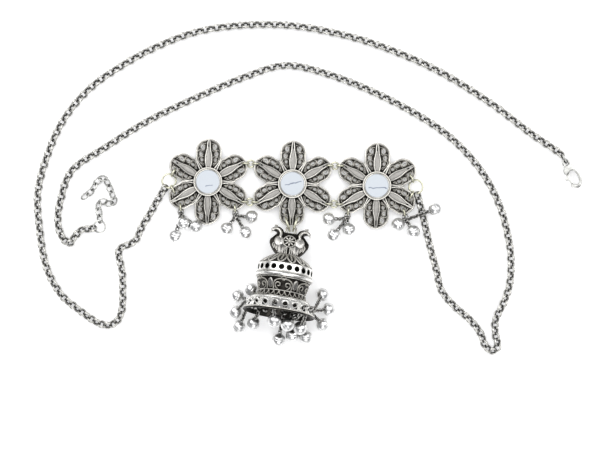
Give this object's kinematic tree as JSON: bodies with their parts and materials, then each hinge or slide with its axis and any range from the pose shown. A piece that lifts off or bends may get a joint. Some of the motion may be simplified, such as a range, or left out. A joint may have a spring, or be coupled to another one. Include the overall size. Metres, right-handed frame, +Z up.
{
  "type": "waist chain",
  "caption": "Waist chain laid flat: pierced flower plaques with round mirrors, two link chains, a lobster clasp, an extender, hanging balls and a bell drop with a peacock hanger.",
  "frame": {"origin": "centre of the flat foot under the middle flower, on the surface that the piece lies on", "axes": "+X along the row of flowers to the clasp's side, +Y from the bell drop towards the flowers' upper petals, +Z up from the surface"},
  "size_m": [0.2456, 0.1498, 0.0314],
  "materials": {
    "oxidised_silver": "antique silver plate, dark in the recesses",
    "bright_silver": "polished silver plate",
    "pale_silver": "pale, slightly warm silver wire",
    "mirror": "flat mirror glass"
  },
  "bodies": {
    "waist_chain": {"flower_left": "oxidised_silver", "mirror_left": "mirror", "flower_centre": "oxidised_silver", "mirror_centre": "mirror", "flower_right": "oxidised_silver", "mirror_right": "mirror", "ring_left_upper_a": "pale_silver", "ring_left_upper_b": "pale_silver", "ring_left_upper_c": "pale_silver", "ring_left_lower_a": "pale_silver", "ring_left_lower_b": "pale_silver", "ring_left_lower_c": "pale_silver", "ring_centre_upper_a": "pale_silver", "ring_centre_upper_b": "pale_silver", "ring_centre_upper_c": "pale_silver", "ring_centre_lower_a": "pale_silver", "ring_centre_lower_b": "pale_silver", "ring_centre_lower_c": "pale_silver", "ring_side_left_upper": "pale_silver", "ring_side_left_lower": "pale_silver", "ring_side_left_join": "pale_silver", "ring_side_right_upper": "pale_silver", "ring_side_right_lower": "pale_silver", "ring_side_right_join": "pale_silver", "chain_left": "oxidised_silver", "chain_right": "oxidised_silver", "extender_ring": "bright_silver", "extender_chain": "bright_silver", "clasp_ring": "bright_silver", "clasp_body": "bright_silver", "ring_dangle_1": "pale_silver", "cluster_1": "bright_silver", "ring_dangle_2": "pale_silver", "cluster_2": "bright_silver", "ring_dangle_3": "pale_silver", "cluster_3": "bright_silver", "ring_dangle_4": "pale_silver", "cluster_4": "bright_silver", "bell": "oxidised_silver", "ring_drop_left": "pale_silver", "ring_drop_right": "pale_silver", "bell_ball_01": "bright_silver", "bell_ball_02": "bright_silver", "bell_ball_03": "bright_silver", "bell_ball_04": "bright_silver", "bell_ball_05": "bright_silver", "bell_ball_06": "bright_silver", "bell_ball_07": "bright_silver", "bell_ball_08": "bright_silver", "bell_ball_09": "bright_silver", "bell_ball_10": "bright_silver", "bell_ball_11": "bright_silver", "bell_ball_12": "bright_silver", "bell_ball_13": "bright_silver", "bell_ball_14": "bright_silver"},
    "lever": {"clasp_lever": "bright_silver"}
  },
  "joints": [
    {"name": "lever_hinge", "type": "hinge", "parent": "waist_chain", "child": "lever", "pos_m": [0.12322, 0.00566, 0.0023], "axis": [0, 0, 1], "range_deg": [0, 20], "stiffness_Nm_per_rad": 0.015}
  ]
}
